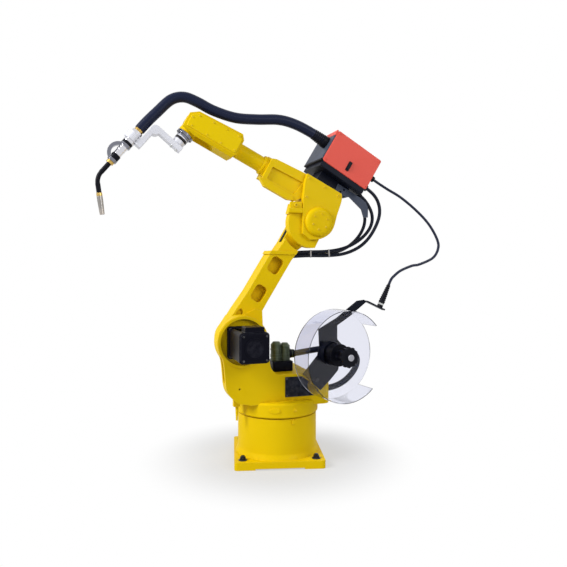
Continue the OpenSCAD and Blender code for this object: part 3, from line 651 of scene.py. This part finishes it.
def soften(node, body, material, slot, edge, segments=3):
    """A copy of a CAD node with its sharp edges rounded by `edge` millimetres."""
    weld, sliver, flat, sharp = 2e-6, 1e-6, math.radians(0.4), math.radians(28.0)
    bm = bmesh.new()
    bm.from_mesh(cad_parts[node].data)
    bmesh.ops.remove_doubles(bm, verts=bm.verts, dist=weld)
    bmesh.ops.dissolve_degenerate(bm, edges=bm.edges, dist=sliver)
    bmesh.ops.dissolve_limit(bm, angle_limit=flat, verts=bm.verts, edges=bm.edges)
    corners = [e for e in bm.edges if len(e.link_faces) == 2 and e.calc_face_angle(0) > sharp]
    if edge > 0:
        bmesh.ops.bevel(bm, geom=corners, offset=mm(edge), offset_type="OFFSET", affect="EDGES", segments=segments,
                        profile=0.5, material=-1, clamp_overlap=True, loop_slide=True)
    thing = put_mesh(node + "_soft", bm, body, material, slot, smooth=40.0)
    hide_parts(node)
    print(thing.name, len(thing.data.polygons), "faces,", len(corners), "edges rounded")


castings = [("base_pedestal", "base", 3.0), ("turret", "turret", 5.0), ("lower_arm", "lower_arm", 5.0),
            ("elbow_casting", "upper_arm", 5.0), ("elbow_cover", "upper_arm", 4.0), ("forearm_tube", "forearm", 2.0),
            ("wrist_housing", "forearm", 5.0), ("wrist_unit", "wrist", 3.0)]
for node, body, edge in castings:
    soften(node, body, yellow_paint, "yellow", edge)
soften("wrist_covers", "forearm", bright_yellow_paint, "yellow", 3.0)

other_pieces = {
    "base": [("slew_ring", dark_steel, "dark_steel", 0.5)],
    # the turret's black panel is a cover plate over a dark opening, and its black is also painted shade of that
    # opening
    "turret": [("turret_panel", black_powder_coat, "black_metal", 1.0),
               ("shoulder_motor", motor_black, "motor_black", 3.0),
               ("deck_motor", motor_black, "motor_black", 3.0),
               ("motor_connectors", olive_plating, "olive", 1.5),
               ("spool_bracket", black_powder_coat, "black_metal", 1.2),
               ("conduit_fitting", black_plastic, "black_plastic", 1.2)],
    "spindle": [("spool_spindle", black_plastic, "black_plastic", 1.2),
                ("spindle_knob", black_plastic, "black_plastic", 3.0)],
    "lower_arm": [("cable_gland", black_plastic, "black_plastic", 3.0)],
    "upper_arm": [("feeder_mount", black_powder_coat, "black_metal", 2.0),
                  ("feeder_tray", black_powder_coat, "black_metal", 2.5),
                  ("feeder_case", red_powder_coat, "red_case", 3.0),
                  ("feeder_end", grey_sheet, "grey_plate", 1.2),
                  ("feeder_switch", black_plastic, "black_plastic", 1.0),
                  ("hose_socket", black_plastic, "black_plastic", 2.5),
                  ("cable_arm", grey_sheet, "grey_plate", 1.0),
                  ("feeder_glands", black_plastic, "black_plastic", 1.5)],
    "tool": [("tool_flange", smoked_chrome, "chrome", 1.5),
             ("tool_adapter", turned_alloy, "silver", 1.2),
             ("torch_bracket", turned_alloy, "silver", 1.5),
             ("torch_clamp", turned_alloy, "silver", 1.5),
             ("torch_body", bright_chrome, "chrome", 1.0),
             ("torch_grips", black_plastic, "black_plastic", 1.2),
             ("torch_loop", smoked_chrome, "chrome", 3.0),
             ("torch_brass", brass, "brass", 0.7),
             ("torch_neck", black_plastic, "black_plastic", 0.0),
             ("gas_nozzle", nozzle_metal, "nozzle", 0.7)]}
for body, pieces in other_pieces.items():
    for node, finish, slot, edge in pieces:
        soften(node, body, finish, slot, edge)

# %% [markdown]
# A machine like this is held together by socket head screws, and they are what gives the eye its scale. One helper
# stands a frame on a surface, with its own Z pointing out. A second one makes a screw there from a short cylinder:
# the rim is bevelled, the top is inset, and the inset face is pushed down to make the socket. All the screws of one
# group share a mesh, because they never move apart.

# %% Screw maker
front, back, ahead, behind, up = (0, 1, 0), (0, -1, 0), (1, 0, 0), (-1, 0, 0), (0, 0, 1)


def facing(link, place, normal):
    """A frame at a place on a link, with its own Z along the normal."""
    turn = Vector(normal).to_track_quat("Z", "X").to_matrix().to_4x4()
    return link @ Matrix.Translation(mm(*place)) @ turn


def add_disc(bm, where, radius, height, sides=24, ease=0.18):
    """A short round, or a prism with few sides, on the frame. Its top rim is eased by a share of its lesser size."""
    old = set(bm.faces)
    axis = (where.to_3x3() @ Vector(up)).normalized()

    def top_face():
        return max((f for f in bm.faces if f not in old), key=lambda f: f.calc_center_median().dot(axis))

    bmesh.ops.create_cone(bm, cap_ends=True, segments=sides, radius1=mm(radius), radius2=mm(radius),
                          depth=mm(height), matrix=where @ shifted(0, 0, height / 2))
    bmesh.ops.bevel(bm, geom=list(top_face().edges), offset=mm(min(radius, height) * ease), offset_type="OFFSET",
                    affect="EDGES", segments=2, profile=0.5, material=-1)
    return top_face(), axis


def sink(bm, face, axis, rim, depth):
    """A hollow in a face: the face shrinks by the rim and goes down by the depth."""
    bmesh.ops.inset_individual(bm, faces=[face], thickness=mm(rim))
    floor = bmesh.ops.extrude_discrete_faces(bm, faces=[face])["faces"][0]
    bmesh.ops.translate(bm, verts=floor.verts, vec=-axis * mm(depth))


def screw_set(name, body, material, slot, places, radius, height):
    """One mesh with a socket head screw at each frame."""
    bm = bmesh.new()
    for where in places:
        top, axis = add_disc(bm, where, radius, height, sides=18)
        sink(bm, top, axis, rim=radius * 0.36, depth=height * 0.6)
    put_mesh(name, bm, body, material, slot)
    print(name, len(places), "screws")


def ring_places(link, middle, normal, radius, angles):
    """Frames around a circle on a face. The angles run in the face's own plane."""
    base = facing(link, middle, normal)
    return [base @ shifted(radius * math.cos(math.radians(a)), radius * math.sin(math.radians(a)), 0)
            for a in angles]


# %% [markdown]
# The screws go where the real joints are: the motor's square flange, the covers, the bolted rings at the bearings,
# the tool flange and its bracket. Their sizes follow the joint, from M4 on the panel to M8 at the shoulder. The faces
# that they stand on are named by their distance from the arm's middle plane.

# %% Screws on the arm
motor_flange_y, motor_end_y, panel_y, bracket_y, shoulder_cap_y = 134, 314, 131, 134, -69
elbow_cover_y, elbow_face_y, elbow_ring_y, wrist_cover_y, feeder_side_y = 108, 88, -55, 64, 110
panel_spots = ((-2, 285), (-2, 354), (-70, 354), (-134, 285))
elbow_spots = ((-46, 158), (26, 160), (104, 160), (80, 84))
cover_spots = ((22, 8), (0, 28), (-62, 32), (-122, 36), (-178, 38), (-188, -22), (-124, -25), (-60, -25), (10, -24))

screw_set("motor_flange_screws", "turret", bolt_black, "motor_black",
          [facing(shoulder_axis, (x, motor_flange_y, z), front) for x in (-54, 54) for z in (-54, 54)],
          radius=6.0, height=6.0)
screw_set("motor_end_screws", "turret", bolt_black, "motor_black",
          [facing(shoulder_axis, (x, motor_end_y, z), front) for x in (-45, 45) for z in (-45, 45)],
          radius=4.2, height=2.6)
screw_set("panel_screws", "turret", bolt_black, "black_plastic",
          [facing(on_floor, (x, panel_y, z), front) for x, z in panel_spots], radius=3.4, height=2.2)
screw_set("bracket_bolts", "turret", bolt_black, "black_metal",
          [facing(on_floor, (x, bracket_y, 342), front) for x in (-134, -104)], radius=8.0, height=7.0)
screw_set("elbow_cover_screws", "upper_arm", yellow_paint, "yellow",
          ring_places(on_elbow, (-18, elbow_cover_y, 15), front, 34, range(15, 360, 60)), radius=4.2, height=3.0)
screw_set("elbow_face_screws", "upper_arm", yellow_paint, "yellow",
          [facing(on_elbow, (x, elbow_face_y, z), front) for x, z in elbow_spots], radius=5.0, height=4.0)
screw_set("shoulder_cap_screws", "lower_arm", bolt_black, "dark_steel",
          ring_places(on_shoulder, (0, shoulder_cap_y, 0), back, 63, range(0, 360, 45)), radius=5.0, height=5.0)
screw_set("elbow_ring_screws", "lower_arm", bolt_black, "dark_steel",
          ring_places(on_elbow, (0, elbow_ring_y, 0), back, 52, range(0, 360, 40)), radius=5.0, height=5.0)
screw_set("nose_ring_screws", "forearm", yellow_paint, "yellow",
          ring_places(on_elbow, (300, 0, elbow_rise), ahead, 38.3, range(0, 360, 45)), radius=2.6, height=3.0)
screw_set("wrist_cover_screws", "forearm", bright_yellow_paint, "yellow",
          [facing(on_wrist, (x, side * wrist_cover_y, z), (0, side, 0)) for side in (-1, 1) for x, z in cover_spots],
          radius=3.2, height=2.6)
screw_set("tool_flange_screws", "tool", bolt_black, "dark_steel",
          ring_places(on_tool, (66, 0, 0), ahead, 33.4, range(0, 360, 60)), radius=2.6, height=2.6)
screw_set("torch_bracket_screws", "tool", zinc, "silver",
          [facing(on_tool, (131, y, z), ahead) for y in (-12, 12) for z in (-13, 13)], radius=4.2, height=4.2)
screw_set("torch_clamp_screws", "tool", bolt_black, "dark_steel",
          [facing(on_tool, (x, 22, 128), front) for x in (201, 217)], radius=3.6, height=3.6)
screw_set("feeder_screws", "upper_arm", red_powder_coat, "red_case",
          [facing(on_feeder, (x, side * feeder_side_y, z), (0, side, 0)) for side in (-1, 1) for x in (-107, 107)
           for z in (11, 139)], radius=3.4, height=2.4)

# %% [markdown]
# The arm is bolted down by its foot, so each corner of the plate has a hexagon bolt on a thick washer. A hexagon is
# a cylinder with six sides, and easing its top rim gives the turned chamfer that every bolt head has. The bolt's end
# stands out above.

# %% Foot bolts
plate_top, washer_height, head_height, corner = 32, 3, 10, 150
washer_top = plate_top + washer_height
bm = bmesh.new()
for x in (-corner, corner):
    for y in (-corner, corner):
        add_disc(bm, facing(on_foot, (x, y, plate_top), up), 18, washer_height, sides=32)
        add_disc(bm, facing(on_foot, (x, y, washer_top), up), 13.5, head_height, sides=6, ease=0.12)
        add_disc(bm, facing(on_foot, (x, y, washer_top + head_height), up), 8, 6, sides=20)
put_mesh("foot_bolts", bm, "base", bolt_black, "dark_steel")
print("4 foot bolts")

# %% [markdown]
# What is left are the small parts that a hand would touch. They are made from discs, dishes and blocks with eased
# edges, set on frames. The knob gets grip ribs and a pale cap. Cable glands get their hexagon nuts, and the connectors
# their collars. The boot and the hose sleeve get rings, because a ribbed sleeve is what lets a cord bend.

# %% Blocks, rings and nuts
def disc_set(name, body, material, slot, discs, sides=32, ease=0.18):
    """One mesh with a disc for each (frame, radius, height)."""
    bm = bmesh.new()
    for where, radius, height in discs:
        add_disc(bm, where, radius, height, sides=sides, ease=ease)
    put_mesh(name, bm, body, material, slot)
    print(name, len(discs), "discs")


def dish(name, body, material, slot, where, radius, height, rim, depth, sides=24):
    """A disc with a shallow hollow in its top."""
    bm = bmesh.new()
    top, axis = add_disc(bm, where, radius, height, sides=sides)
    sink(bm, top, axis, rim, depth)
    put_mesh(name, bm, body, material, slot)


def block_set(name, body, material, slot, blocks, ease):
    """One mesh with a block for each (frame, wide, deep, tall), with all its edges eased."""
    bm = bmesh.new()
    for where, wide, deep, tall in blocks:
        size = Matrix.Diagonal((*mm(wide, deep, tall), 1))
        made = bmesh.ops.create_cube(bm, size=1.0, matrix=where @ shifted(0, 0, tall / 2) @ size)
        edges = list({e for v in made["verts"] for e in v.link_edges})
        bmesh.ops.bevel(bm, geom=edges, offset=mm(ease), offset_type="OFFSET", affect="EDGES", segments=2,
                        profile=0.5, material=-1)
    put_mesh(name, bm, body, material, slot)
    print(name, len(blocks), "blocks")


ring_gap, ring_taper = 9, 0.6
knob_ribs = ring_places(on_spool, (0, 127, 0), front, 38.5, range(0, 360, 30))
disc_set("knob_ribs", "spindle", black_plastic, "black_plastic", [(w, 4.6, 14.5) for w in knob_ribs], sides=14)
dish("knob_cap", "spindle", pale_plastic, "grey_plate", facing(on_spool, (0, 149, 0), front), 13.2, 4,
     rim=4.5, depth=1.6)
disc_set("spindle_rings", "spindle", black_plastic, "black_plastic",
         [(facing(on_spool, (0, y, 0), front), r, 4) for y, r in ((36, 47.2), (58, 47.2), (84, 26), (112, 26))])
disc_set("boot_rings", "turret", black_plastic, "black_plastic",
         [(facing(on_fitting, (0, 0, 24 + ring_gap * i), up), 14.2 - ring_taper * i, 4) for i in range(9)], ease=0.3)
disc_set("boot_nut", "turret", zinc, "silver", [(facing(on_fitting, (0, 0, 10), up), 12.5, 8)], sides=6)
disc_set("hose_sleeve", "upper_arm", black_plastic, "black_plastic",
         [(facing(on_feeder, (144 + ring_gap * i, 50, 92), ahead), 26.6 - ring_taper * i, 5) for i in range(6)],
         ease=0.3)
gland_spots = ((60, 76, 16.5), (60, 24, 17.5), (32, -12, 13.8), (-2, -12, 13.8))
disc_set("feeder_nuts", "upper_arm", black_plastic, "black_plastic",
         [(facing(on_feeder, (-118, y, z), behind), r, 8) for y, z, r in gland_spots], sides=6)
disc_set("connector_collars", "turret", olive_plating, "olive",
         [(facing(on_floor, (x, 20, z), up), r, h) for x, r in ((10, 25.6), (-28, 23.6))
          for z, h in ((414, 8), (428, 14), (458, 7))], sides=18, ease=0.1)
disc_set("connector_plug", "turret", black_plastic, "black_plastic",
         [(facing(on_floor, (x, 20, 440), behind), r, h) for x, r, h in ((-46, 19.4, 11), (-60, 18, 9))],
         sides=16, ease=0.12)

# %% [markdown]
# The next ones stand on castings and cases: the stop block beside the elbow, which the lower arm meets at the end of
# its travel, the bumper strip on the arm's front, the foundry bosses on the skirt, one with a grease nipple, and the
# feeder's rocker switch. The feeder's end has a folded lip at its top and a gasket below, and its far side has the
# door's hinges and latch. The motor's end carries a shallow round cover, and the torch its turned rings.

# %% Stops, switch and small covers
def on_skirt(degrees):
    """A frame on the turret's round skirt, facing out."""
    x, y = math.cos(math.radians(degrees)), math.sin(math.radians(degrees))
    return facing(on_floor, (172 * x, 172 * y, 233), (x, y, 0))


stop_face = facing(on_elbow, (98, 70, 24), front) @ swung(27)
block_set("elbow_stop", "upper_arm", yellow_paint, "yellow",
          [(stop_face, 46, 54, 12), (stop_face @ shifted(-14, 2, 2), 22, 64, 15)], ease=4.0)
screw_set("elbow_stop_screw", "upper_arm", yellow_paint, "yellow", [stop_face @ shifted(8, 2, 12)],
          radius=8.0, height=6.0)
bumper_face = facing(on_shoulder, (58.5, 0, 484), ahead) @ tipped(-3)
block_set("arm_bumper", "lower_arm", rubber_black, "hose", [(bumper_face, 66, 24, 5)], ease=1.2)
oval_boss, round_boss = on_skirt(70) @ Matrix.Diagonal((0.5, 1.0, 1.0, 1.0)), on_skirt(98)
disc_set("skirt_bosses", "turret", yellow_paint, "yellow", [(oval_boss, 22, 6), (round_boss, 9, 6)], ease=0.4)
disc_set("grease_nipple", "turret", yellow_paint, "yellow",
         [(round_boss @ shifted(0, 0, 6), 4.5, 4), (round_boss @ shifted(0, 0, 10), 2.6, 5)], sides=6)
rocker_face = facing(on_feeder, (2, 114, 42), front) @ shifted(0, 0, -0.5) @ tipped(5)
block_set("switch_rocker", "upper_arm", motor_black, "black_plastic", [(rocker_face, 30, 10.5, 3.2)], ease=0.8)
block_set("feeder_latch", "upper_arm", black_plastic, "black_plastic",
          [(facing(on_feeder, (0, -feeder_side_y, 26), back), 20, 44, 7)], ease=2.0)
block_set("feeder_lip", "upper_arm", red_powder_coat, "red_case",
          [(facing(on_feeder, (117.5, 0, 137), ahead), 25, 218, 7.2)], ease=1.6)
block_set("feeder_gasket", "upper_arm", rubber_black, "black_plastic",
          [(facing(on_feeder, (113, 0, 2.5), ahead), 9, 217, 11)], ease=1.6)
disc_set("feeder_hinges", "upper_arm", bolt_black, "dark_steel",
         [(facing(on_feeder, (x, -111, 143), ahead), 4.5, 34) for x in (-90, 56)], ease=0.2)
dish("motor_end_cover", "turret", motor_black, "motor_black", facing(shoulder_axis, (0, motor_end_y - 1, 0), front),
     40, 4, rim=6, depth=1.5, sides=48)
disc_set("adapter_band", "tool", bolt_black, "dark_steel", [(facing(on_tool, (80, 0, 0), ahead), 27.4, 12)])
torch_rings = ((228, 24.6, 9), (266, 18.2, 6), (278, 18.2, 6))
disc_set("torch_rings", "tool", bright_chrome, "chrome",
         [(facing(on_tool, (x, 0, 146), ahead), r, h) for x, r, h in torch_rings], sides=24, ease=0.12)

# %% [markdown]
# Two thin ties hold the three feeder cables together. A tie is the convex hull of short rings around the cables.

# %% Cable ties
def bundle_tie(name, reach, loop=8.6, half_width=3):
    """A band around the three feeder cables where they pass this X, in millimetres."""
    bm = bmesh.new()
    for line in cable_lines:
        near = min(range(len(line) // 2, len(line) - 1), key=lambda i: abs(line[i].x - mm(reach)))
        along = (line[near + 1] - line[near]).normalized()
        where = Matrix.Translation(line[near]) @ along.to_track_quat("Z", "X").to_matrix().to_4x4()
        for side in (-half_width, half_width):
            bmesh.ops.create_circle(bm, segments=20, radius=mm(loop), matrix=where @ shifted(0, 0, side))
    hull = bmesh.ops.convex_hull(bm, input=bm.verts)
    inside = [v for v in hull["geom_interior"] if isinstance(v, bmesh.types.BMVert)]
    bmesh.ops.delete(bm, geom=inside, context="VERTS")
    bmesh.ops.recalc_face_normals(bm, faces=bm.faces)
    mesh = bpy.data.meshes.new(name)
    bm.to_mesh(mesh)
    bm.free()
    mesh.materials.append(pale_plastic)
    tie = bpy.data.objects.new(name, mesh)
    bpy.context.scene.collection.objects.link(tie)
    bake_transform(tie)
    print(name, len(mesh.polygons), "faces")


bundle_tie("cable_tie_a", -178)
bundle_tie("cable_tie_b", -258)

# %% [markdown]
# The spool guard is a clear moulded cover. Clear plastic needs a real thickness and a shader that lets light
# through, so the CAD shell keeps its walls and gets a transmission material with a faint cool tint.

# %% Clear guard
def new_clear(name):
    material, tree, shader = new_material(name)
    tint = place_group(tree, colour_drift, Color=(0.79, 0.80, 0.89, 1), Scale=8.0, Amount=0.04)
    tree.links.new(tint.outputs["Color"], shader.inputs["Base Color"])
    haze = node_of(tree, "ShaderNodeMapRange")
    set_span(haze, "To", 0.01, 0.05)
    tree.links.new(noise_in(tree, 14.0, 4.0), haze.inputs["Value"])
    tree.links.new(haze.outputs["Result"], shader.inputs["Roughness"])
    set_inputs(shader, {"Transmission Weight": 1.0, "IOR": 1.3})
    return material


clear_plastic = new_clear("clear_plastic")
soften("spool_guard", "turret", clear_plastic, "clear", 0.8, segments=2)
